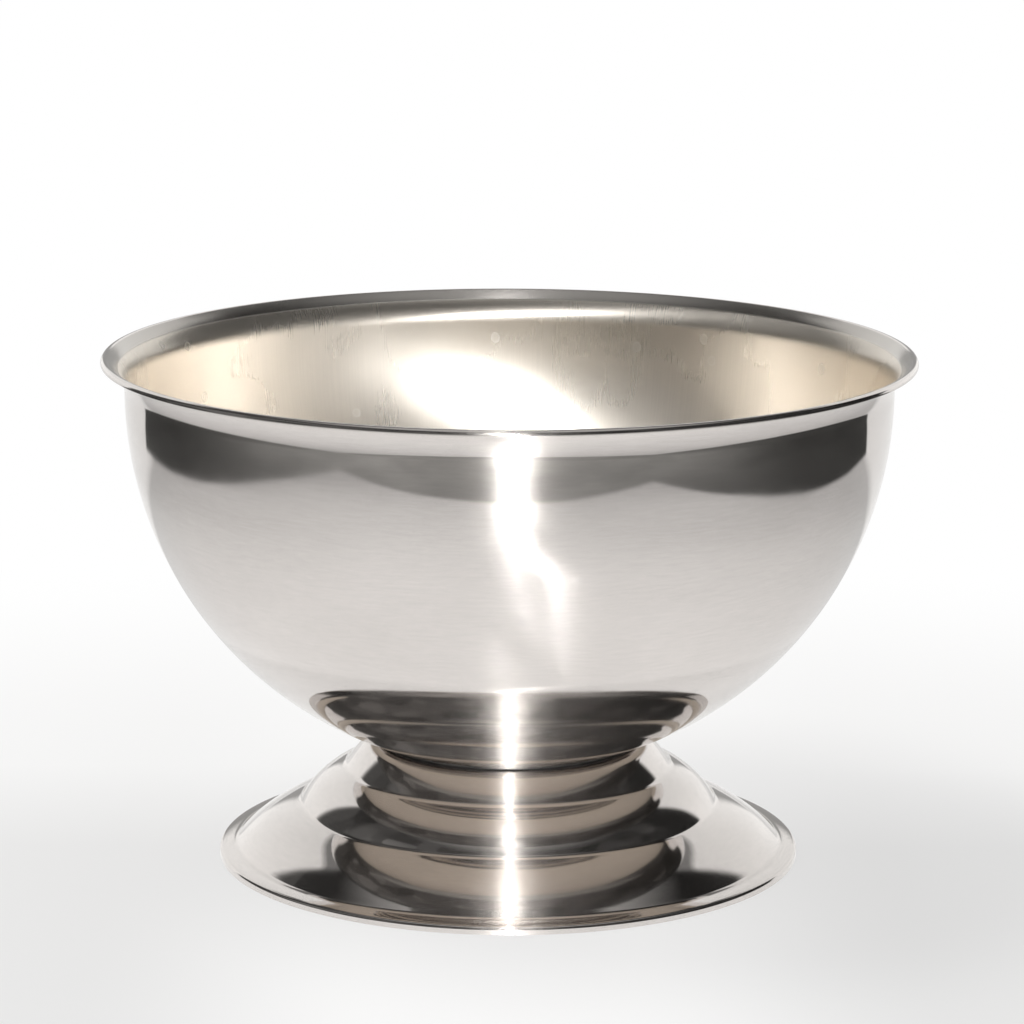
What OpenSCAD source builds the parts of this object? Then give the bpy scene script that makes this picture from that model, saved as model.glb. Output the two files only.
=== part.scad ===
// Footed stainless-steel punch bowl: a spun hemispherical bowl with a flared
// lip, pulled down through a gasket onto a spun, stepped foot.
// Frame: millimetres, +Z up, origin at the centre of the foot's resting face.

/* [Bowl] */
// Outside diameter across the rim
rim_d = 400; // [396:1:410]
// Height of the rim's crest above the surface that the bowl stands on
height = 252; // [250:0.5:256]
// Outside radius of the hemispherical body
body_r = 188.5; // [188:0.1:189.5]
// Height of the body's centre, where the lip starts to flare
body_z = 235.5; // [234.5:0.1:236.5]
// Thickness of the bowl's sheet
bowl_t = 1; // [0.8:0.1:1.2]
// Radius over the top of the rim's turned-down edge
rim_edge_r = 2.3; // [1.8:0.1:3]

/* [Foot] */
// Radius of the seam, where the foot leaves the bowl
seam_r = 63.7; // [62.5:0.1:64.5]
// Radius over the bend at the top of the neck
neck_bend_r = 8; // [6:0.5:9]
// Radius of the crease under the neck
crease_a_r = 81.5; // [81:0.1:82]
// Height of the crease under the neck
crease_a_z = 43.8; // [43.3:0.1:44.3]
// Radius of the crease under the middle tier
crease_b_r = 104; // [103.5:0.1:104.5]
// Height of the crease under the middle tier
crease_b_z = 25.2; // [24.7:0.1:25.7]
// Radius of the crease between the lower tier and the flange
crease_c_r = 136.3; // [136:0.1:136.6]
// Height of the crease between the lower tier and the flange
crease_c_z = 4.9; // [4.7:0.1:5.1]
// Radius of the neck's slight bulge, seen in section
neck_curve_r = 120; // [60:5:300]
// Radius of the middle tier's bulge, seen in section
middle_curve_r = 46; // [30:1:100]
// Radius of the lower tier's bulge, seen in section
lower_curve_r = 100; // [50:5:200]
// Radius of the flange's bulge, seen in section
flange_curve_r = 60; // [20:5:100]
// Outside diameter of the foot
foot_d = 289; // [287:0.5:294]
// Radius over the foot's turned-down edge
foot_edge_r = 2; // [1.6:0.1:2.4]
// Height at which the foot's edge has turned straight down
foot_edge_z = 2; // [1.5:0.1:2.4]
// Thickness of the foot's sheet
foot_t = 1; // [0.8:0.1:1.2]

/* [Joint under the bowl] */
// Thickness of the gasket and of the doubler plate, which fill the same gap
joint_t = 1; // [0.8:0.1:1.4]
// Width of the gasket's ring
gasket_w = 11; // [6:0.5:16]
// Diameter of the doubler plate welded under the bowl
doubler_d = 70; // [50:1:90]
// Diameter of the stud's thread
stud_d = 8; // [6:0.5:8]
// Length of the stud below the doubler plate
stud_l = 15; // [14:0.5:15.5]
// Diameter of the weld collar at the stud's root
collar_d = 10.5; // [10:0.5:11]
// Height of the weld collar
collar_h = 0.8; // [0.6:0.1:1]
// Diameter of the dished spreader washer
spreader_d = 44; // [30:1:60]
// Thickness of the spreader washer
spreader_t = 2; // [1.5:0.1:2.2]
// Outside diameter of the lock washer
lock_d = 14.8; // [13:0.2:16]
// Thickness of the lock washer
lock_t = 2; // [1.6:0.1:2.2]
// Width of the nut across its flats
nut_af = 13; // [12:0.5:14]
// Height of the nut's hexagon
nut_hex_h = 6.5; // [6:0.5:8]
// Height of the whole nut, dome included
nut_h = 15; // [14.5:0.5:17]

/* [Hidden] */
$fn = 180;

// Play between the stud and each hole around it, on the radius
hole_play = 0.25;
// Pitch and depth of the stud's thread, drawn as rings with flat crests
thread_pitch = 1.25;
thread_depth = 0.6;
crest_w = 0.25;
// Stretch of the stud under the plate that has no thread
stud_plain_l = 4;
// Edge of the weld collar, above its slope
collar_edge_h = 0.2;
// Length by which the stud is cut from above the plate's face
stud_excess = 1;
// Cut through the lock washer: its width and its slant
split_w = 1.6;
split_slant = 20;
// Nut: chamfer of the hexagon's corners, step from hexagon to dome, depth and
// play of the bore
nut_chamfer_w = 1;
nut_chamfer_h = 0.6;
dome_step = 0.3;
bore_l = 11;
bore_play = 0.05;
// Gap between the gasket's edge and the seam
gasket_inset = 0.4;
// Length by which neighbouring stretches of one bent sheet overlap
lap = 0.05;

body_c = [0, body_z];
crease_a = [crease_a_r, crease_a_z];
crease_b = [crease_b_r, crease_b_z];
crease_c = [crease_c_r, crease_c_z];
foot_r = foot_d / 2;
stud_r = stud_d / 2;

// Spheres about the body's centre that the joint's faces lie on
seat_r = body_r + joint_t;
seat_back_r = seat_r + foot_t;
spreader_back_r = seat_back_r + spreader_t;
// Heights of the stack under the pole
stud_top_z = body_z - seat_r;
lock_top_z = body_z - spreader_back_r;
nut_top_z = lock_top_z - lock_t;

// Rim: the flare leaves the body upright and meets the edge's bend tangentially
rim_edge_c = [rim_d / 2 - rim_edge_r, height - rim_edge_r];
flare_run = rim_edge_c[0] - body_r + bowl_t - rim_edge_r;
flare_rise = rim_edge_c[1] - body_z;
flare_angle = 2 * atan(flare_run / flare_rise);
flare_r = flare_rise / sin(flare_angle) + rim_edge_r - bowl_t;
flare_c = [body_r + flare_r, body_z];

// Foot: each bulge is an arc of the outer face, given by its centre
seam_angle = asin(seam_r / seat_r);
neck_bend_c = body_c + (seat_r + neck_bend_r) * [sin(seam_angle), -cos(seam_angle)];
foot_edge_c = [foot_r - foot_edge_r, foot_edge_z];
neck_c = meet(neck_bend_c, neck_curve_r - neck_bend_r, crease_a, neck_curve_r);
middle_c = meet(crease_a, middle_curve_r, crease_b, middle_curve_r);
lower_c = meet(crease_b, lower_curve_r, crease_c, lower_curve_r);
flange_c = meet(crease_c, flange_curve_r, foot_edge_c, flange_curve_r - foot_edge_r);

// Direction from one point to another, in degrees
function heading(from, to) = atan2(to[1] - from[1], to[0] - from[0]);

// The point that is r_p from p and r_q from q, on the right of the way from p to q
function meet(p, r_p, q, r_q) =
    let (gap = norm(q - p), along = (gap * gap + r_p * r_p - r_q * r_q) / (2 * gap),
         aside = sqrt(r_p * r_p - along * along), way = (q - p) / gap)
    p + along * way + aside * [way[1], -way[0]];

// Sector of a disc about c, between two directions less than 180 degrees apart.
// Each side is let out by the lap, so that neighbouring sectors fuse.
module sector(c, r, from, to) {
    reach = 2 * r;
    more = lap / r * 180 / PI;
    rays = [from - more, (from + to) / 2, to + more];
    translate(c)
        intersection() {
            circle(r);
            polygon([[0, 0], for (a = rays) reach * [cos(a), sin(a)]]);
        }
}

// Section of a sheet bent to an arc about c, between two directions
module bent_sheet(c, outer, inner, from, to) {
    difference() {
        sector(c, outer, from, to);
        translate(c) circle(inner);
    }
}

// Section of a layer that lies on a sphere about the body's centre, from a
// hole of radius r_hole to an edge of radius r_edge
module dished(inner, outer, r_hole, r_edge) {
    bent_sheet(body_c, outer, inner, -acos(r_hole / inner), -acos(r_edge / outer));
}

module bowl_shell() {
    flare_end = 180 - flare_angle;
    color("silver")
        rotate_extrude() {
            intersection() {
                difference() {
                    translate(body_c) circle(body_r);
                    translate(body_c) circle(body_r - bowl_t);
                }
                translate([0, body_z - 2 * body_r]) square(2 * body_r);
            }
            bent_sheet(flare_c, flare_r + bowl_t, flare_r, flare_end, 180);
            bent_sheet(rim_edge_c, rim_edge_r, rim_edge_r - bowl_t, 90, flare_end);
            bent_sheet(rim_edge_c, rim_edge_r, rim_edge_r - bowl_t, 0, 90);
            sector(rim_edge_c + [rim_edge_r - bowl_t / 2, 0], bowl_t / 2, -180, -90);
            sector(rim_edge_c + [rim_edge_r - bowl_t / 2, 0], bowl_t / 2, -90, 0);
        }
}

module doubler_plate() {
    color("darkgray")
        rotate_extrude()
            intersection() {
                difference() {
                    translate(body_c) circle(seat_r);
                    translate(body_c) circle(body_r);
                }
                square([doubler_d / 2, body_z]);
            }
}

module weld_stud() {
    turns = floor((stud_l - stud_plain_l) / thread_pitch);
    tip_z = stud_top_z - stud_l;
    cut_z = stud_top_z + stud_excess;
    collar_z = stud_top_z - collar_edge_h;
    root_r = stud_r - thread_depth;
    flank_h = (thread_pitch - crest_w) / 2;
    color("darkgray")
        rotate_extrude()
            difference() {
                union() {
                    polygon([[0, tip_z], [root_r, tip_z],
                             for (i = [1:turns], root_z = tip_z + i * thread_pitch)
                                 each [[root_r, root_z], [stud_r, root_z + flank_h],
                                       [stud_r, root_z + flank_h + crest_w]],
                             [root_r, tip_z + (turns + 1) * thread_pitch],
                             [root_r, cut_z], [0, cut_z]]);
                    polygon([[0, stud_top_z - collar_h], [stud_r, stud_top_z - collar_h],
                             [collar_d / 2, collar_z], [collar_d / 2, cut_z], [0, cut_z]]);
                }
                translate(body_c) circle(seat_r);
            }
}

module seat_gasket() {
    edge_r = seam_r - gasket_inset;
    color([0.12, 0.11, 0.1])
        rotate_extrude()
            dished(body_r, seat_r, edge_r - gasket_w, edge_r);
}

module foot_shell() {
    to_body = heading(neck_bend_c, body_c);
    neck_from = heading(neck_c, neck_bend_c);
    edge_from = heading(flange_c, foot_edge_c);
    color("silver")
        rotate_extrude() {
            bent_sheet(body_c, seat_back_r, seat_r,
                       -acos((collar_d / 2 + hole_play) / seat_r), to_body - 180);
            bent_sheet(neck_bend_c, neck_bend_r, neck_bend_r - foot_t, neck_from, to_body);
            bent_sheet(neck_c, neck_curve_r, neck_curve_r - foot_t,
                       heading(neck_c, crease_a), neck_from);
            crease(crease_a, neck_c, middle_c);
            bent_sheet(middle_c, middle_curve_r, middle_curve_r - foot_t,
                       heading(middle_c, crease_b), heading(middle_c, crease_a));
            crease(crease_b, middle_c, lower_c);
            bent_sheet(lower_c, lower_curve_r, lower_curve_r - foot_t,
                       heading(lower_c, crease_c), heading(lower_c, crease_b));
            crease(crease_c, lower_c, flange_c);
            bent_sheet(flange_c, flange_curve_r, flange_curve_r - foot_t,
                       edge_from, heading(flange_c, crease_c));
            bent_sheet(foot_edge_c, foot_edge_r, foot_edge_r - foot_t, 0, edge_from);
            translate([foot_r - foot_t, 0]) square([foot_t, foot_edge_z]);
        }
}

// Fills the back of a crease, where the arcs above and below it part
module crease(point, above_c, below_c) {
    sector(point, foot_t, heading(point, above_c), heading(point, below_c));
}

module spreader_washer() {
    color("darkgray")
        rotate_extrude()
            dished(seat_back_r, spreader_back_r, stud_r + hole_play, spreader_d / 2);
}

module lock_washer() {
    color("dimgray")
        translate([0, 0, nut_top_z])
            difference() {
                cylinder(h = lock_t, d = lock_d);
                translate([0, 0, -lock_t]) cylinder(h = 3 * lock_t, r = stud_r + hole_play);
                rotate([split_slant, 0, 0])
                    translate([0, -split_w / 2, -lock_t])
                        cube([lock_d, split_w, 3 * lock_t]);
            }
}

module dome_nut() {
    dome_r = nut_af / 2 - dome_step;
    corner_r = nut_af / 2 + nut_chamfer_w;
    color("darkgray")
        translate([0, 0, nut_top_z])
            difference() {
                union() {
                    intersection() {
                        translate([0, 0, -nut_hex_h])
                            cylinder(h = nut_hex_h, d = nut_af / cos(30), $fn = 6);
                        rotate_extrude()
                            polygon([[0, -nut_hex_h], [nut_af / 2, -nut_hex_h],
                                     [corner_r, nut_chamfer_h - nut_hex_h],
                                     [corner_r, -nut_chamfer_h], [nut_af / 2, 0], [0, 0]]);
                    }
                    translate([0, 0, dome_r - nut_h]) {
                        cylinder(h = nut_h - dome_r - nut_hex_h / 2, r = dome_r);
                        sphere(dome_r);
                    }
                }
                translate([0, 0, -bore_l]) cylinder(h = 2 * bore_l, r = stud_r + bore_play);
            }
}

bowl_shell();
doubler_plate();
weld_stud();
seat_gasket();
foot_shell();
spreader_washer();
lock_washer();
dome_nut();
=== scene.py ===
"""Looks for the footed punch bowl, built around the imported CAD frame.

The two spun shells are turned again here as fine smooth lathe meshes, with a
polished outside, a satin inside and rounded creases. The joint's small parts
keep their CAD meshes and get their own procedural metals and rubber.
All sizes are in metres, in the row frame: +Z up, origin under the foot.
"""
from math import acos, asin, atan, atan2, ceil, cos, hypot, pi, radians, sin, sqrt, tau

import bpy
import numpy as np
from mathutils import Matrix, Vector


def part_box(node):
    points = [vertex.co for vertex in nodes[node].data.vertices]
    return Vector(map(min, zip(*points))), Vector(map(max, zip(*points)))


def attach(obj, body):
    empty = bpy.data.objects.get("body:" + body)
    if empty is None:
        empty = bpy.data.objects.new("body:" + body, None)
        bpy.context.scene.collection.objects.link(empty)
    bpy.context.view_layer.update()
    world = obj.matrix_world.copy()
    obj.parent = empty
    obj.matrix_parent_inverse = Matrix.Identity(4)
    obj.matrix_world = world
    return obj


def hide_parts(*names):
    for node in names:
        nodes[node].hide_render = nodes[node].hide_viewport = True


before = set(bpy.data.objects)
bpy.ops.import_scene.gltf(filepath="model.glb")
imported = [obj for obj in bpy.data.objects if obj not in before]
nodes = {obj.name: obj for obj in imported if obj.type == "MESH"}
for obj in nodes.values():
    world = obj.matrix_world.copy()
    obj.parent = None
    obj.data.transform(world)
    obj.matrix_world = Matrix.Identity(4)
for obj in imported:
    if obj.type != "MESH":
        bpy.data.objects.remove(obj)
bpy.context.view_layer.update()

# ---------------------------------------------------------------- dimensions

SHEET = 0.001            # gauge of both shells
BODY_R = 0.1885          # outside radius of the hemispherical body
BODY_Z = 0.2355          # height of the body's centre
RIM_EDGE_R = 0.0023      # outside radius of the rim's turned-down edge
SATIN_R = 0.1915         # radius on the flare where the satin inside begins
SEAT_GAP = 0.001         # gasket between body and foot
SEAM_R = 0.0637          # radius at which the foot leaves the body
NECK_BEND_R = 0.008
CREASES = [(0.0815, 0.0438), (0.104, 0.0252), (0.1363, 0.0049)]
TIER_CURVES = [0.120, 0.046, 0.100, 0.060]   # bulge radii: neck, middle, lower, flange
CREASE_ROUNDING = 0.0011
FOOT_EDGE_R = 0.002
FOOT_EDGE_Z = 0.002
STUD_HOLE_R = 0.0055

RIM_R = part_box("bowl_shell")[1].x
RIM_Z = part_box("bowl_shell")[1].z
FOOT_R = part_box("foot_shell")[1].x

ROUND = 288              # segments around each shell
FINE_TURN = radians(1)   # largest turn between neighbours on a long arc
TIGHT_TURN = radians(9)  # and on a small bend
ROUNDING_STEPS = 8       # along each rounded crease
SHARP_FROM = radians(40)
SAME_POINT = 1e-7        # neighbours closer than this are one point
ON_AXIS = 1e-6

# ------------------------------------------------------------------ profiles


def heading(start, end):
    """Direction from one point of the section to another."""
    return atan2(end[1] - start[1], end[0] - start[0])


def distance(p, q):
    return hypot(q[0] - p[0], q[1] - p[1])


def on_circle(centre, radius, angle):
    return (centre[0] + radius * cos(angle), centre[1] + radius * sin(angle))


def arc(centre, radius, start, end, turn=FINE_TURN):
    """Points along an arc, both ends included."""
    steps = max(3, ceil(abs(end - start) / turn))
    return [on_circle(centre, radius, a) for a in np.linspace(start, end, steps + 1)]


def meet(p, r_p, q, r_q):
    """The centre that is r_p from p and r_q from q, on the right of the way from p to q."""
    gap = distance(p, q)
    along = (gap * gap + r_p * r_p - r_q * r_q) / (2 * gap)
    aside = sqrt(r_p * r_p - along * along)
    way = ((q[0] - p[0]) / gap, (q[1] - p[1]) / gap)
    return (p[0] + along * way[0] + aside * way[1], p[1] + along * way[1] - aside * way[0])


def rounded(before, corner, after):
    """Joins two runs of points by a small curve in place of the sharp corner between them."""
    first = [p for p in before if distance(p, corner) > CREASE_ROUNDING]
    last = [p for p in after if distance(p, corner) > CREASE_ROUNDING]
    a, b = first[-1], last[0]
    curve = []
    for t in np.linspace(0, 1, ROUNDING_STEPS + 1)[1:-1]:
        near, mid, far = (1 - t) ** 2, 2 * t * (1 - t), t * t
        curve.append((near * a[0] + mid * corner[0] + far * b[0],
                      near * a[1] + mid * corner[1] + far * b[1]))
    return first + curve + last


def bowl_sections():
    """The bowl's section: its outside from the pole to the rim's crest, and its inside back again."""
    body_c = (0, BODY_Z)
    edge_c = (RIM_R - RIM_EDGE_R, RIM_Z - RIM_EDGE_R)
    run = edge_c[0] - BODY_R + SHEET - RIM_EDGE_R
    rise = edge_c[1] - BODY_Z
    flare_turn = 2 * atan(run / rise)
    flare_r = rise / sin(flare_turn) + RIM_EDGE_R - SHEET
    flare_c = (BODY_R + flare_r, BODY_Z)
    nose_c = (edge_c[0] + RIM_EDGE_R - SHEET / 2, edge_c[1])
    outside = arc(body_c, BODY_R, -pi / 2, 0)
    outside += arc(flare_c, flare_r, pi, pi - flare_turn)[1:]
    outside += arc(edge_c, RIM_EDGE_R - SHEET, pi - flare_turn, 0, TIGHT_TURN)[1:]
    outside += arc(nose_c, SHEET / 2, -pi, 0, 2 * TIGHT_TURN)[1:]
    outside += arc(edge_c, RIM_EDGE_R, 0, pi - flare_turn, TIGHT_TURN)[1:]
    inside = arc(flare_c, flare_r + SHEET, pi - flare_turn, pi)
    inside += arc(body_c, BODY_R - SHEET, 0, -pi / 2)[1:]
    return outside, inside


def foot_section():
    """The foot's closed section: its outer face from the stud hole to the edge, and its back again."""
    body_c = (0, BODY_Z)
    seat_r = BODY_R + SEAT_GAP
    seam = asin(SEAM_R / seat_r) - pi / 2
    bend_c = on_circle(body_c, seat_r + NECK_BEND_R, seam)
    edge_c = (FOOT_R - FOOT_EDGE_R, FOOT_EDGE_Z)
    ends = [bend_c, *CREASES, edge_c]
    trims = [NECK_BEND_R, 0, 0, 0, FOOT_EDGE_R]
    centres = [meet(ends[i], r - trims[i], ends[i + 1], r - trims[i + 1])
               for i, r in enumerate(TIER_CURVES)]
    neck_turn = heading(centres[0], bend_c)
    edge_turn = heading(centres[-1], edge_c)
    hole = -acos(STUD_HOLE_R / seat_r)
    flange = len(centres) - 1

    def face(depth):
        """One face of the sheet: depth 0 is the outer face, and depth SHEET its back."""
        points = arc(body_c, seat_r + depth, hole, seam)
        points += arc(bend_c, NECK_BEND_R - depth, seam + pi, neck_turn, TIGHT_TURN / 2)[1:]
        for i, centre in enumerate(centres):
            start = neck_turn if i == 0 else heading(centre, ends[i])
            end = edge_turn if i == flange else heading(centre, ends[i + 1])
            tier = arc(centre, TIER_CURVES[i] - depth, start, end)
            if i == 0:
                points += tier[1:]
            else:
                across = (heading(ends[i], centres[i - 1]) + heading(ends[i], centre)) / 2
                points = rounded(points, on_circle(ends[i], depth, across), tier)
        points += arc(edge_c, FOOT_EDGE_R - depth, edge_turn, 0, TIGHT_TURN)[1:]
        return points + [(edge_c[0] + FOOT_EDGE_R - depth, 0)]

    return face(0), face(SHEET)[::-1]


def lathe(name, runs):
    """Turns runs of section points about Z into one smooth mesh. Each run has its own material index,
    and runs follow each other around the section. A point on the axis becomes a single vertex."""
    section, owner = [], []
    for index, run in enumerate(runs):
        for p in run:
            if section and distance(p, section[-1]) < SAME_POINT:
                owner[-1] = index
                continue
            section.append(p)
            owner.append(index)
    closed = section[0][0] > ON_AXIS
    verts, rings = [], []
    for r, z in section:
        if r < ON_AXIS:
            rings.append([len(verts)] * ROUND)
            verts.append((0, 0, z))
        else:
            rings.append(list(range(len(verts), len(verts) + ROUND)))
            verts += [(r * cos(tau * i / ROUND), r * sin(tau * i / ROUND), z) for i in range(ROUND)]
    faces, indices = [], []
    for k in range(len(rings) if closed else len(rings) - 1):
        a, b = rings[k], rings[(k + 1) % len(rings)]
        for i in range(ROUND):
            j = (i + 1) % ROUND
            corners = [a[i], a[j], b[j], b[i]]
            faces.append([c for n, c in enumerate(corners) if c != corners[n - 1]])
            indices.append(owner[k])
    mesh = bpy.data.meshes.new(name)
    mesh.from_pydata(verts, [], faces)
    mesh.polygons.foreach_set("material_index", indices)
    mesh.polygons.foreach_set("use_smooth", [True] * len(faces))
    mesh.set_sharp_from_angle(angle=SHARP_FROM)
    mesh.update()
    return add_object(name, mesh)


def add_object(name, data):
    made = bpy.data.objects.new(name, data)
    bpy.context.scene.collection.objects.link(made)
    return made


# ---------------------------------------------------------------------- nodes


class Nodes:
    """Short ways to add nodes to the tree of a material, a lamp or the world."""

    def __init__(self, tree):
        self.tree = tree
        tree.nodes.clear()

    def add(self, kind, inputs=(), **settings):
        n = self.tree.nodes.new(kind)
        for key, value in settings.items():
            setattr(n, key, value)
        for key, value in dict(inputs).items():
            self.put(n.inputs[key], value)
        return n

    def put(self, socket, value):
        if isinstance(value, bpy.types.NodeSocket):
            self.tree.links.new(value, socket)
        elif isinstance(value, (tuple, list)) and len(value) == 3 and socket.type == "RGBA":
            socket.default_value = (*value, 1)
        else:
            socket.default_value = value

    def math(self, operation, *values):
        return self.add("ShaderNodeMath", enumerate(values), operation=operation).outputs[0]

    def product(self, result, *others):
        for value in others:
            result = self.math("MULTIPLY", result, value)
        return result

    def total(self, result, *others):
        for value in others:
            result = self.math("ADD", result, value)
        return result

    def minus(self, a, b):
        return self.math("SUBTRACT", a, b)

    def above(self, value, limit):
        return self.math("GREATER_THAN", value, limit)

    def below(self, value, limit):
        return self.math("LESS_THAN", value, limit)

    def ramp(self, value, low, high, start=0.0, end=1.0, smooth=True):
        """Maps low..high of a value to start..end, held beyond both ends."""
        kind = "SMOOTHSTEP" if smooth else "LINEAR"
        n = self.add("ShaderNodeMapRange", {"Value": value, "From Min": low, "From Max": high,
                                            "To Min": start, "To Max": end}, interpolation_type=kind)
        return n.outputs["Result"]

    def curve(self, value, points):
        """A value's height on a line through the points, held beyond both ends."""
        height = points[0][1]
        for (a, low), (b, high) in zip(points, points[1:]):
            height = self.total(height, self.ramp(value, a, b, 0.0, high - low, False))
        return height

    def blend(self, factor, a, b):
        """A number between two."""
        return self.add("ShaderNodeMix", {"Factor": factor, 2: a, 3: b}, data_type="FLOAT").outputs[0]

    def mix(self, factor, a, b):
        """A colour between two."""
        return self.add("ShaderNodeMix", {"Factor": factor, 6: a, 7: b}, data_type="RGBA").outputs[2]

    def colour(self, red, green, blue):
        return self.add("ShaderNodeCombineColor", {0: red, 1: green, 2: blue}).outputs[0]

    def vector(self, x, y, z=0.0):
        return self.add("ShaderNodeCombineXYZ", {"X": x, "Y": y, "Z": z}).outputs[0]

    def apart(self, vector):
        return self.add("ShaderNodeSeparateXYZ", {"Vector": vector}).outputs

    def channel(self, colour, index):
        return self.add("ShaderNodeSeparateColor", {"Color": colour}).outputs[index]

    def length(self, a, b):
        return self.add("ShaderNodeVectorMath", {0: a, 1: b}, operation="DISTANCE").outputs["Value"]

    def stretch(self, vector, scale):
        return self.add("ShaderNodeMapping", {"Vector": vector, "Scale": scale}).outputs[0]

    def noise(self, vector, scale, detail=3.0, rough=0.5, dims="3D"):
        slot = "W" if dims == "1D" else "Vector"
        n = self.add("ShaderNodeTexNoise", {slot: vector, "Scale": scale, "Detail": detail,
                                            "Roughness": rough}, noise_dimensions=dims)
        return n.outputs["Fac"]

    def chance(self, place):
        """Random numbers from 0 to 1, new at every point: outputs Value and Color."""
        return self.add("ShaderNodeTexWhiteNoise", {"Vector": place}, noise_dimensions="3D").outputs

    def polar(self):
        """Object coordinates: the place, its height, its distance from the axis and its angle about it."""
        place = self.add("ShaderNodeTexCoord").outputs["Object"]
        x, y, z = self.apart(place)
        r = self.math("SQRT", self.total(self.product(x, x), self.product(y, y)))
        return place, z, r, self.math("ARCTAN2", y, x)

    def tilted_tangent(self, climb):
        """The direction around the axis, climbing by that slope towards the right."""
        around = self.add("ShaderNodeTangent", direction_type="RADIAL", axis="Z").outputs[0]
        normal = self.add("ShaderNodeNewGeometry").outputs["Normal"]
        across = self.add("ShaderNodeVectorMath", {0: normal, 1: around}, operation="CROSS_PRODUCT")
        slope = self.vector(climb, climb, climb)
        return self.add("ShaderNodeVectorMath", {0: across.outputs[0], 1: slope, 2: around},
                        operation="MULTIPLY_ADD").outputs[0]

    def bump(self, height, distance, strength=1.0, under=None):
        inputs = {"Height": height, "Distance": distance, "Strength": strength}
        if under is not None:
            inputs["Normal"] = under
        return self.add("ShaderNodeBump", inputs).outputs[0]

    def principled(self, **inputs):
        named = {key.replace("_", " "): value for key, value in inputs.items()}
        shader = self.add("ShaderNodeBsdfPrincipled", named)
        self.add("ShaderNodeOutputMaterial", {"Surface": shader.outputs[0]})

    def emission(self, colour, strength=1.0):
        return self.add("ShaderNodeEmission", {"Color": colour, "Strength": strength}).outputs[0]

    def background(self, colour, strength=1.0):
        return self.add("ShaderNodeBackground", {"Color": colour, "Strength": strength}).outputs[0]

    def either(self, factor, a, b):
        """Shader a where the factor is 0 and b where it is 1."""
        return self.add("ShaderNodeMixShader", {0: factor, 1: a, 2: b}).outputs[0]


def material(name):
    m = bpy.data.materials.new(name)
    m.use_nodes = True
    return m, Nodes(m.node_tree)


# ------------------------------------------------------------- polished steel

UPWARDS, DOWNWARDS = 1.0, -1.0       # which way the section's radius grows
QUARTER_TURN = 0.25                  # of the shader's marks: they run around instead of up
CLEAN = (0.03, 0.07)                 # roughness of the clear polish
STEEL_TONES = (0.700, 0.664, 0.643), (0.660, 0.626, 0.604)
BRUSHED_TONE = (0.590, 0.564, 0.544)
MARK_TONE = (0.16, 0.15, 0.14)
RAGGED = 0.055                       # how much the marks' climb varies from line to line
RING_SHARES = (0.55, 1.45)           # how much the share of scratched points varies from ring to ring
PATCH_SHARES = (0.7, 1.3)            # and from patch to patch
WAVE, RIPPLE, GRAIN = 0.00011, 0.000010, 0.000006    # heights of the relief

# By height above the floor:
MARK_SCATTER = [(0.119, 0.44), (0.124, 0.30), (0.180, 0.30), (0.200, 0.34)]   # added roughness
BODY_MARKS = [(0.120, 0.12), (0.126, 0.115), (0.185, 0.115), (0.200, 0.11)]   # share of scratched points
FOOT_MARKS = [(0.0, 0.12)]
BACK_MARKS = [(0.0, 0.55)]


def polished_steel(name, slope, waviness, density, lean_of=None):
    """Mirror-polished spun steel. Slope says which way the section's radius grows. Density is the share
    of the surface that turning marks cover, by height. Lean_of gives how the marks climb to the right
    as they go round, and how many of them are left; without it they are level."""
    m, n = material(name)
    place, z, r, angle = n.polar()
    level = n.total(z, n.product(r, slope))
    # Turning marks are too fine to see one by one: each point is either scratched or clear
    rings = n.ramp(n.noise(level, 1900.0, 3.0, 0.7, "1D"), 0.3, 0.7, *RING_SHARES)
    patches = n.ramp(n.noise(n.stretch(place, (9, 9, 60)), 1.0), 0.3, 0.7, *PATCH_SHARES)
    chance = n.chance(place)
    climb, kept = lean_of(n, z, n.channel(chance["Color"], 1)) if lean_of else (0.0, 1.0)
    share = n.product(n.curve(z, density), n.product(rings, patches), kept)
    marked = n.below(chance["Value"], share)
    # They lie in fine lines, each of which climbs a little differently
    brushed = n.noise(n.vector(n.product(angle, 14.0), n.product(level, 520.0)), 1.0, 3.0, 0.7)
    climb = n.total(climb, n.ramp(brushed, 0.30, 0.70, -RAGGED, RAGGED, False))
    smudge = n.noise(place, 11.0, 4.0, 0.6)
    roughness = n.total(n.ramp(smudge, 0.35, 0.75, *CLEAN), n.product(marked, n.curve(z, MARK_SCATTER)))
    # Slow waves left by the spinning tool, and finer ones from the polishing wheel
    waves = n.bump(n.noise(n.stretch(place, (1, 1, 1.6)), 24.0, 1.0), WAVE * waviness)
    ripples = n.bump(n.noise(n.stretch(place, (1, 1, 0.6)), 60.0, 2.0), RIPPLE * waviness, under=waves)
    relief = n.bump(n.noise(place, 130.0, 2.0), GRAIN * waviness, under=ripples)
    tone = n.mix(n.ramp(smudge, 0.3, 0.8), *STEEL_TONES)
    tone = n.mix(n.ramp(brushed, 0.25, 0.75, 0.0, 0.30), tone, BRUSHED_TONE)
    n.principled(Base_Color=n.mix(marked, tone, MARK_TONE), Metallic=1.0, Roughness=roughness,
                 Normal=relief, Tangent=n.tilted_tangent(climb), Anisotropic=1.0,
                 Anisotropic_Rotation=QUARTER_TURN)
    return m


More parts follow.
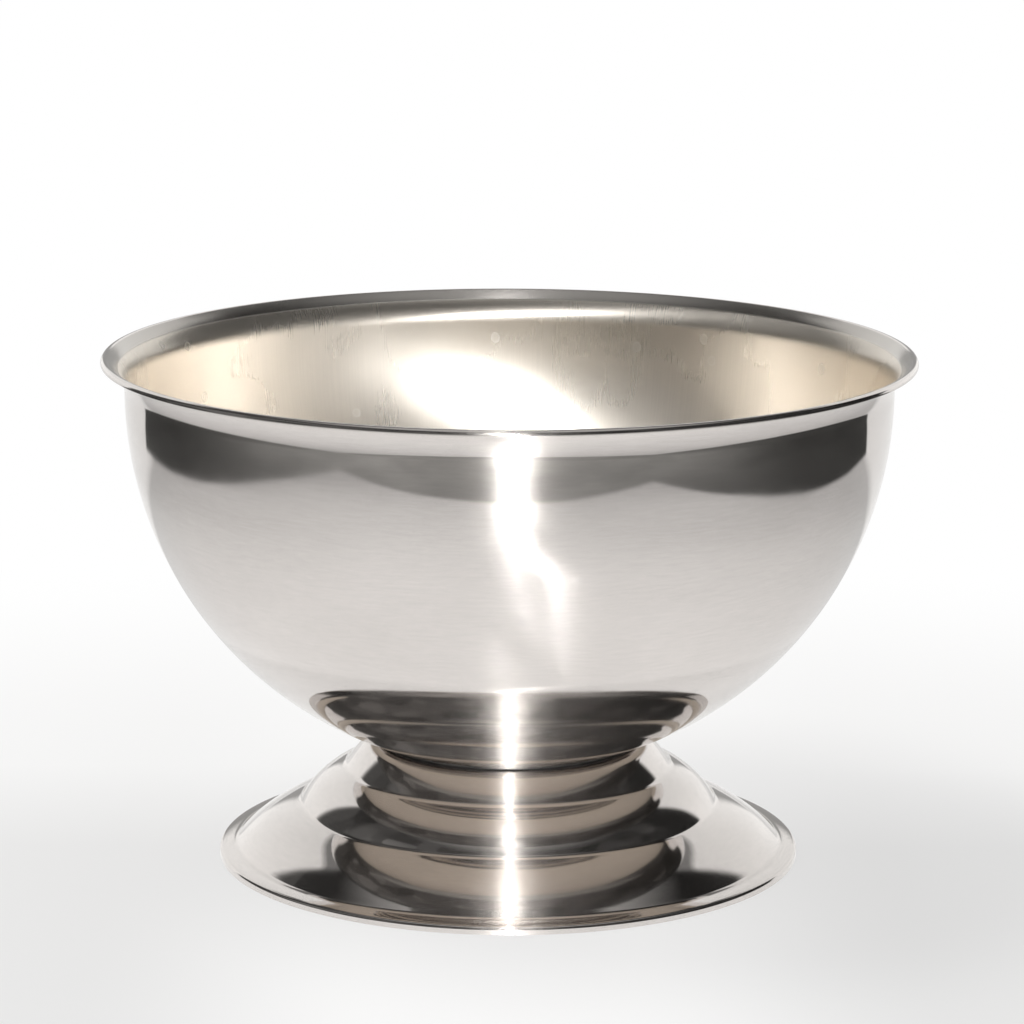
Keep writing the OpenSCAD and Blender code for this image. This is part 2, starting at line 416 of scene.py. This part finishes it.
# The body was buffed three ways: steep marks in the middle band, slight ones in its upper part, and a few
# that lean to the left lower down. Which way a point went is picked at random.
STEEP_PICK, LEFT_PICK = 0.55, 0.75   # steep below the first, left above the second, else slight
LEVEL_ZONE = (0.119, 0.123)          # heights below which the marks are level, as on the foot
STEEP_KEPT = [(0.122, 0.0), (0.138, 0.38), (0.165, 0.45), (0.200, 1.0)]
STEEP_CLIMB = [(0.150, 0.28), (0.180, 0.34), (0.200, 0.04)]
SLIGHT_KEPT = (0.138, 0.165)
SLIGHT_CLIMB = [(0.150, 0.12), (0.185, 0.03)]
LEFT_BAND = (0.116, 0.120), (0.135, 0.160)
LEFT_ABOVE = (0.186, 0.200)
LEFT_CLIMB = [(0.119, 0.0), (0.165, -0.14), (0.190, 0.04)]


def body_lean(n, z, pick):
    """How the body's marks climb, and how many are left, at a height and for a random pick."""
    steep = n.below(pick, STEEP_PICK)
    left = n.above(pick, LEFT_PICK)
    slight = n.minus(1.0, n.total(steep, left))
    level_zone = n.ramp(z, *LEVEL_ZONE, 1.0, 0.0)
    band_from, band_to = LEFT_BAND
    left_band = n.product(n.ramp(z, *band_from), n.ramp(z, *band_to, 1.0, 0.0))
    left_kept = n.math("MAXIMUM", left_band, n.ramp(z, *LEFT_ABOVE))
    kept = n.total(n.product(steep, n.curve(z, STEEP_KEPT)),
                   n.product(slight, n.ramp(z, *SLIGHT_KEPT)),
                   n.product(left, left_kept))
    climb = n.total(n.product(steep, n.curve(z, STEEP_CLIMB)),
                    n.product(slight, n.curve(z, SLIGHT_CLIMB)),
                    n.product(left, n.curve(z, LEFT_CLIMB)))
    return n.product(climb, n.minus(1.0, level_zone)), n.math("MAXIMUM", kept, level_zone)


# ---------------------------------------------------------------- satin steel

SATIN_ROUGHNESS = (0.24, 0.31)
SATIN_TONES = (0.79, 0.736, 0.662), (0.76, 0.709, 0.638)
SATIN_TILT = -0.42                   # how far the upright marks lean
SATIN_ANISO, LIP_ANISO = 0.72, 0.95
SOFT_SHARE, SOFT_MORE = 0.28, 0.26   # points that spread the light wider, and how much rougher they are
LIP_ROUGHNESS = (0.22, 0.28)
LIP_TONE = (0.50, 0.478, 0.452)
LIP_MARKS, LIP_MARK_MORE = 0.2, 0.24
POLISH_EDGE = 0.0004                 # half the width of the change from satin to polish
DROP_CELLS = (4.9, 22.0)             # cells per radian around and per metre of height plus radius
DROP_TONE = (0.92, 0.90, 0.86)
EMPTY_CELLS = 0.55                   # share of the cells without a drop
RING_OUTER, RING_INNER = (0.072, 0.082), (0.050, 0.068)      # edges of its ring, in cells
RING_MIDDLE = 0.25                   # how much of the ring shows in its middle


def dried_drops(n, place, angle, level):
    """Water spots, as pale rings with a cleaner middle: 1 on a ring and 0 away from it."""
    cells_at = n.vector(n.product(angle, DROP_CELLS[0]), n.product(level, DROP_CELLS[1]))
    cells = n.add("ShaderNodeTexVoronoi", {"Vector": cells_at, "Scale": 1.0}, voronoi_dimensions="2D")
    wobble = n.product(n.noise(place, 300.0, 2.0), 0.03)
    off_middle = n.total(cells.outputs["Distance"], wobble)
    chosen = n.above(n.channel(cells.outputs["Color"], 0), EMPTY_CELLS)
    outer = n.ramp(off_middle, *RING_OUTER, 1.0, 0.0)
    inner = n.ramp(off_middle, *RING_INNER, RING_MIDDLE, 1.0)
    return n.product(chosen, n.product(outer, inner))


def satin_steel(name):
    """The bowl's inside: a satin of fine upright marks, with dried water spots, which turns to a polish
    on the lip above the junction ring."""
    m, n = material(name)
    place, z, r, angle = n.polar()
    level = n.total(z, r)
    strokes = n.noise(n.vector(n.product(angle, 260.0), n.product(level, 14.0)), 1.0, 3.0, 0.65)
    cloud = n.noise(place, 9.0, 3.0, 0.6)
    drops = dried_drops(n, place, angle, level)
    chance = n.chance(place)["Value"]
    lip = n.product(n.ramp(r, SATIN_R - POLISH_EDGE, SATIN_R + POLISH_EDGE), n.above(z, BODY_Z))
    inside_only = n.minus(1.0, lip)
    satin = n.ramp(n.total(n.product(strokes, 0.12), n.product(cloud, 0.88)), 0.3, 0.7, *SATIN_ROUGHNESS)
    satin = n.total(satin, n.product(drops, 0.10), n.product(n.above(chance, 1 - SOFT_SHARE), SOFT_MORE))
    polish = n.total(n.ramp(cloud, 0.35, 0.75, *LIP_ROUGHNESS),
                     n.product(n.below(chance, LIP_MARKS), LIP_MARK_MORE))
    tone = n.mix(n.ramp(strokes, 0.3, 0.7), *SATIN_TONES)
    tone = n.mix(n.product(drops, 0.30), tone, DROP_TONE)
    waves = n.bump(n.noise(place, 22.0, 1.0), 0.00012)
    relief = n.bump(n.product(strokes, inside_only), 0.0000004, 0.6, waves)
    n.principled(Base_Color=n.mix(lip, tone, LIP_TONE), Metallic=1.0,
                 Roughness=n.blend(lip, satin, polish), Normal=relief,
                 Tangent=n.tilted_tangent(n.product(inside_only, SATIN_TILT)),
                 Anisotropic=n.ramp(lip, 0, 1, SATIN_ANISO, LIP_ANISO, False),
                 Anisotropic_Rotation=n.product(lip, QUARTER_TURN))
    return m


# -------------------------------------------------------- the joint's materials

PLATE_TONE, STRAW_TONE, BLUE_TONE = (0.60, 0.59, 0.57), (0.50, 0.38, 0.24), (0.22, 0.26, 0.38)
STRAW_REACH, BLUE_REACH = (0.006, 0.013), (0.0055, 0.0085)   # radii over which the heat tints fade
NUT_TONE, GRIME_TONE = (0.72, 0.71, 0.69), (0.50, 0.485, 0.46)
RUBBER_TONE, BLOOM_TONE = (0.017, 0.016, 0.015), (0.050, 0.048, 0.045)


def welded_steel(name):
    """Bare plate and stud, with straw and blue heat tint around the weld."""
    m, n = material(name)
    place, _, r, _ = n.polar()
    mottle = n.noise(place, 420.0, 4.0, 0.65)
    heat = n.ramp(n.total(r, n.product(mottle, 0.004)), *STRAW_REACH, 1.0, 0.0)
    straw = n.mix(heat, PLATE_TONE, STRAW_TONE)
    core = n.ramp(n.total(r, n.product(mottle, 0.003)), *BLUE_REACH, 1.0, 0.0)
    tint = n.mix(n.product(core, 0.7), straw, BLUE_TONE)
    turned = n.noise(r, 3200.0, 3.0, 0.7, "1D")
    rough = n.total(n.ramp(mottle, 0.3, 0.7, 0.30, 0.42), n.product(turned, 0.06))
    relief = n.bump(n.total(mottle, turned), 0.00002)
    n.principled(Base_Color=tint, Metallic=1.0, Roughness=rough, Normal=relief)
    return m


def fastener_steel(name):
    """Bright turned steel of the washers and nut, a little dull in random patches."""
    m, n = material(name)
    place, z, r, _ = n.polar()
    turned = n.noise(n.total(r, n.product(z, 0.3)), 5200.0, 3.0, 0.7, "1D")
    grime = n.noise(place, 260.0, 4.0, 0.6)
    tone = n.mix(n.ramp(grime, 0.42, 0.72), NUT_TONE, GRIME_TONE)
    rough = n.total(n.ramp(grime, 0.35, 0.7, 0.16, 0.32), n.product(turned, 0.08))
    relief = n.bump(turned, 0.00001, 0.8, n.bump(grime, 0.00003, 0.5))
    n.principled(Base_Color=tone, Metallic=1.0, Roughness=rough, Normal=relief)
    return m


def gasket_rubber(name):
    """Black moulded rubber with a faint bloom."""
    m, n = material(name)
    place = n.polar()[0]
    grain = n.noise(place, 2400.0, 3.0, 0.6)
    bloom = n.noise(place, 90.0, 4.0, 0.6)
    tone = n.mix(n.ramp(bloom, 0.45, 0.8), RUBBER_TONE, BLOOM_TONE)
    rough = n.ramp(bloom, 0.3, 0.7, 0.55, 0.78)
    n.principled(Base_Color=tone, Metallic=0.0, Roughness=rough, Specular_IOR_Level=0.06,
                 Normal=n.bump(grain, 0.00003))
    return m


# --------------------------------------------------------------------- pieces

bowl = lathe("bowl_spun", bowl_sections())
bowl.data.materials.append(polished_steel("bowl_polish", UPWARDS, 1.0, BODY_MARKS, body_lean))
bowl.data.materials.append(satin_steel("bowl_satin"))
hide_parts("bowl_shell")

foot = lathe("foot_spun", foot_section())
foot.data.materials.append(polished_steel("foot_polish", DOWNWARDS, 1.6, FOOT_MARKS))
foot.data.materials.append(polished_steel("foot_back", DOWNWARDS, 3.0, BACK_MARKS))
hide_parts("foot_shell")

for piece in (bowl, foot):
    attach(piece, "root")

FINISHES = {
    welded_steel("weld_tinted_steel"): ("doubler_plate", "weld_stud"),
    fastener_steel("turned_steel"): ("spreader_washer", "lock_washer", "dome_nut"),
    gasket_rubber("moulded_rubber"): ("seat_gasket",),
}
for finish, names in FINISHES.items():
    for node in names:
        nodes[node].data.materials.clear()
        nodes[node].data.materials.append(finish)

# --------------------------------------------------------------------- camera

CAMERA_PLACE = (0, -2.0284, 0.6099)
CAMERA_TILT = 0.2126     # downwards, radians
CAMERA_PAN = -0.0007     # anticlockwise seen from above, radians
CAMERA_ROLL = 0.0033     # anticlockwise, radians
CAMERA_SENSOR = 36       # millimetres
CAMERA_LENS = 147.56     # millimetres


def add_camera():
    data = bpy.data.cameras.new("view")
    data.sensor_width = CAMERA_SENSOR
    data.lens = CAMERA_LENS
    camera = add_object("view", data)
    turn = Matrix.Rotation(CAMERA_PAN, 4, "Z") @ Matrix.Rotation(pi / 2 - CAMERA_TILT, 4, "X")
    camera.matrix_world = Matrix.Translation(CAMERA_PLACE) @ turn @ Matrix.Rotation(CAMERA_ROLL, 4, "Z")
    bpy.context.scene.camera = camera


# ---------------------------------------------------------------------- floor

FLOOR_SIZE = 40.0
WHITE_FROM, WHITE_TO = 0.85, 1.25    # how far off the floor fades to pure white
FADE_CENTRE = (0, -0.6, 0)
PAPER_TONE = (0.80, 0.795, 0.785)
PAPER_GLOW = 0.6                     # share of the floor's brightness that no shadow reaches
CENTRE_GLOW = (1.12, 1.12, 1.12)     # painted light: brightness of that share along the middle, brighter than to the sides
SIDE_GLOW = [(-0.36, 0.86), (0.0, 0.90), (0.15, 1.05)]       # painted shade: the same to both sides, by depth, darker towards the front
SIDE_RAMP = (0.05, 0.20)             # how far aside the one turns into the other

# What reflections see: a white table, and a white backdrop that starts behind it along a wide V
TABLE_LEFT, TABLE_RIGHT, TABLE_FRONT = -0.71, 0.64, -0.68
TABLE_SLANT, SLANT_CENTRE = 0.18, 0.10       # the right edge moves out with depth
BACKDROP_LEFT, BACKDROP_RIGHT = 0.824, 0.6745   # depth at which it starts, per metre to either side
EDGE_BLUR = 0.02
TABLE_CENTRE = (-0.05, -0.10, 0)
TABLE_PAINTED_LIGHT = [(0.20, 1.06), (0.40, 0.90), (0.60, 0.74), (0.75, 0.60)]   # painted pool of light: brightness by distance from there
SHEET_TINT = (1.0, 0.995, 0.985)
TWICE_PAINTED_SHADE = (0.68, 0.62, 0.54)      # painted shade: darker and browner once it is mirrored twice, between the foot and the bowl
TWICE_FROM = 1.5                     # ray depth
BACKDROP_TONE = (0.30, 0.55, 0.0, 0.98)      # from and to depth, and its least tone there
AROUND_TONE = (-1.0, 0.35, 0.38, 0.055)      # painted shade of the floor around the table, in the same way
RIGHT_IS_DARKER = (0.0, 0.7, 0.0, 0.33)      # painted shade to the right: from and to x, and how much depth that counts for


def table_cover(n, x, y):
    """1 on the table and the backdrop and 0 on the studio's floor around them."""
    skew = n.product(n.total(y, SLANT_CENTRE), TABLE_SLANT)
    left = n.ramp(x, TABLE_LEFT - EDGE_BLUR, TABLE_LEFT + EDGE_BLUR)
    right = n.ramp(n.minus(x, skew), TABLE_RIGHT - EDGE_BLUR, TABLE_RIGHT + EDGE_BLUR, 1.0, 0.0)
    front = n.ramp(y, TABLE_FRONT - EDGE_BLUR, TABLE_FRONT + EDGE_BLUR)
    slope = n.ramp(x, -0.01, 0.01, BACKDROP_LEFT, BACKDROP_RIGHT)
    behind = n.ramp(n.minus(y, n.product(n.math("ABSOLUTE", x), slope)), -EDGE_BLUR, EDGE_BLUR)
    return n.math("MAXIMUM", n.product(left, right, front), behind)


def studio_floor(n, place, x, y):
    """The floor around the table in reflections, as emission with painted shade: darker towards the back
    and right.
    """
    depth = n.total(y, n.ramp(x, *RIGHT_IS_DARKER))
    clutter = n.ramp(n.noise(place, 1.7), 0.35, 0.65, 0.85, 1.15)
    tone = n.product(n.ramp(depth, *AROUND_TONE), clutter)
    return n.emission(n.colour(tone, tone, n.product(tone, 0.97)))


def table_sheet(n, place, y, depth_of_ray):
    """The table as seen in reflections, painted as emission: a painted pool of light brightest around the
    bowl, painted shade where it is mirrored twice, and the backdrop.
    """
    # painted pool of light, brightest around the bowl
    bright = n.curve(n.length(place, TABLE_CENTRE), TABLE_PAINTED_LIGHT)
    bright = n.math("MAXIMUM", bright, n.ramp(y, *BACKDROP_TONE))
    # painted shade: rays mirrored twice see a darker, browner table
    tint = n.mix(n.above(depth_of_ray, TWICE_FROM), SHEET_TINT, TWICE_PAINTED_SHADE)
    return n.emission(n.add("ShaderNodeVectorMath", {0: tint, "Scale": bright},
                            operation="SCALE").outputs[0])


def paper_with_painted_light(n, place, x, y):
    """The floor that the camera sees: lit paper mixed with painted light, brightest along the middle and
    darker towards the front at the sides. It fades to white far off, like the background.
    """
    lit = n.add("ShaderNodeBsdfDiffuse", {"Color": PAPER_TONE}).outputs[0]
    # painted light: brighter along the middle, darker towards the front at the sides
    side = n.curve(y, SIDE_GLOW)
    glow = n.mix(n.ramp(n.math("ABSOLUTE", x), *SIDE_RAMP), CENTRE_GLOW, n.colour(side, side, side))
    paper = n.either(PAPER_GLOW, lit, n.emission(glow))
    fade = n.ramp(n.length(place, FADE_CENTRE), WHITE_FROM, WHITE_TO)
    return n.either(fade, paper, n.emission((1, 1, 1)))


def add_floor():
    """A pale floor. Seen by the camera it is lit paper mixed with painted light, brightest along the
    middle. In reflections it is
    painted as emission: a white table with a painted pool of light around the bowl and a darker studio
    floor past its edges. From below it is clear."""
    mesh = bpy.data.meshes.new("floor")
    s = FLOOR_SIZE / 2
    mesh.from_pydata([(-s, -s, 0), (s, -s, 0), (s, s, 0), (-s, s, 0)], [], [(0, 1, 2, 3)])
    add_object("floor", mesh)
    m, n = material("floor_paper")
    mesh.materials.append(m)
    geometry = n.add("ShaderNodeNewGeometry").outputs
    place = geometry["Position"]
    x, y, _ = n.apart(place)
    ray = n.add("ShaderNodeLightPath").outputs
    mirrored = n.either(table_cover(n, x, y), studio_floor(n, place, x, y),
                        table_sheet(n, place, y, ray["Ray Depth"]))
    above = n.either(ray["Is Glossy Ray"], paper_with_painted_light(n, place, x, y), mirrored)
    clear = n.add("ShaderNodeBsdfTransparent").outputs[0]
    n.add("ShaderNodeOutputMaterial", {"Surface": n.either(geometry["Backfacing"], above, clear)})


# ---------------------------------------------------------------------- world

# Directions are in degrees around from the front and in degrees up
AMBIENT = 0.72                       # strength of the even light on the floor
SCREENS_FROM, SCREENS_TO = 132, 166  # the white screens, with the grey wall behind the table between them
SCREEN_TONE = [(6, 1.20), (26, 1.04), (34, 0.95), (36, 0.26), (44, 0.20)]    # by degrees up
SCREEN_RISE = (132, 160, 9.0, 0.0)   # from and to degrees around, and how much higher they reach there
SCREENS_EARLIER = (-20, 20, 2.5, 8.0)        # how much sooner they start near the floor, left and right
NEAR_FLOOR = (6, 14)
WALL_TOP = (11, 15)
WALL_DARKER = 0.78                   # how much darker than the screens the grey wall is
ROOM_TONE = [(-90, 0.155), (-30, 0.11), (70, 0.048)]         # by degrees around
ROOM_ABOVE = (36, 46, 1.0, 0.65)     # from and to degrees up, and the share of the light left there
ROOM_CORNERS = (104, 112), (128, 132)        # where the room's dark corners start and end
CORNERS_DARKER = 0.6                 # share of the light that they lose
CLUTTER = (0.45, 1.6)                # darkest and palest things in the room
CEILING = (46, 75, 0.0, 0.55)        # from and to degrees up, and the least tone there


def screens(n, off_front, up):
    """The white screens at the back, which reach higher towards the sides, and the wall between them."""
    height = n.minus(up, n.ramp(off_front, *SCREEN_RISE))
    wall = n.product(n.ramp(off_front, SCREENS_TO - 1, SCREENS_TO + 2), n.ramp(up, *WALL_TOP, 1.0, 0.0))
    return n.minus(n.curve(height, SCREEN_TONE), n.product(wall, WALL_DARKER))


def dark_room(n, way, around, off_front, up):
    """The room in front, with vague things in it, darker in its corners and above."""
    things = n.add("ShaderNodeTexVoronoi", {"Vector": n.stretch(way, (1, 1, 0.7)), "Scale": 4.5})
    thing = n.channel(things.outputs["Color"], 0)
    corner_from, corner_to = ROOM_CORNERS
    corners = n.product(n.ramp(off_front, *corner_from), n.ramp(off_front, *corner_to, 1.0, 0.0))
    return n.product(n.curve(around, ROOM_TONE), n.ramp(thing, 0.0, 1.0, *CLUTTER, False),
                     n.ramp(up, *ROOM_ABOVE), n.minus(1.0, n.product(corners, CORNERS_DARKER)))


def add_world():
    """The studio: plain white to the camera, even light on the floor, and in reflections a dark room
    in front with white screens at the back on both sides."""
    world = bpy.data.worlds.new("studio")
    bpy.context.scene.world = world
    world.use_nodes = True
    n = Nodes(world.node_tree)
    way = n.add("ShaderNodeTexCoord").outputs["Generated"]
    x, y, z = n.apart(way)
    around = n.math("DEGREES", n.math("ARCTAN2", x, n.product(y, -1.0)))
    off_front = n.math("ABSOLUTE", around)
    up = n.math("DEGREES", n.math("ARCSINE", z))
    # Near the floor the screens start a little earlier, in line with the backdrop there
    early = n.product(n.ramp(up, *NEAR_FLOOR, 1.0, 0.0), n.ramp(around, *SCREENS_EARLIER))
    cover = n.ramp(n.total(off_front, early), SCREENS_FROM - 2, SCREENS_FROM + 3)
    tone = n.blend(cover, dark_room(n, way, around, off_front, up), screens(n, off_front, up))
    tone = n.math("MAXIMUM", tone, n.ramp(up, *CEILING))
    studio = n.background(n.colour(tone, n.product(tone, 0.995), n.product(tone, 0.98)))
    ray = n.add("ShaderNodeLightPath").outputs
    unseen = n.either(ray["Is Glossy Ray"], n.background((1, 1, 1), AMBIENT), studio)
    shown = n.either(ray["Is Camera Ray"], unseen, n.background((1, 1, 1)))
    n.add("ShaderNodeOutputWorld", {"Surface": shown})


# ---------------------------------------------------------------------- lamps

BEFORE_FLOOR = 0.5       # diffuse depth of a ray that hasn't met the floor yet is below this


def add_lamp(name, place, target, width, height, power, on_floor):
    """A rectangular lamp that lights either the floor or the metal."""
    data = bpy.data.lights.new(name, "AREA")
    data.shape = "RECTANGLE"
    data.size = width
    data.size_y = height
    data.energy = power
    lamp = add_object(name, data)
    lamp.location = place
    lamp.rotation_euler = (Vector(target) - Vector(place)).to_track_quat("-Z", "Y").to_euler()
    lamp.visible_camera = False
    lamp.visible_diffuse = on_floor
    lamp.visible_glossy = not on_floor
    if not on_floor:
        # Leave out the spots that the metal would throw onto the floor
        data.use_nodes = True
        n = Nodes(data.node_tree)
        direct = n.below(n.add("ShaderNodeLightPath").outputs["Diffuse Depth"], BEFORE_FLOOR)
        n.add("ShaderNodeOutputLight", {"Surface": n.emission((1, 1, 1), direct)})


add_camera()
add_floor()
add_world()
add_lamp("key", (-0.75, 0.1, 2.2), (0, 0, 0.05), 0.9, 0.9, 15, True)
add_lamp("front", (0.04, -2.10, 0.90), (0, 0, 0.15), 0.10, 0.08, 54, False)   # the inside's glow
add_lamp("low", (0.02, -2.0, 0.06), (0, 0, 0.06), 0.05, 0.10, 560, False)     # the upright streak
bpy.context.scene.view_settings.view_transform = "Standard"
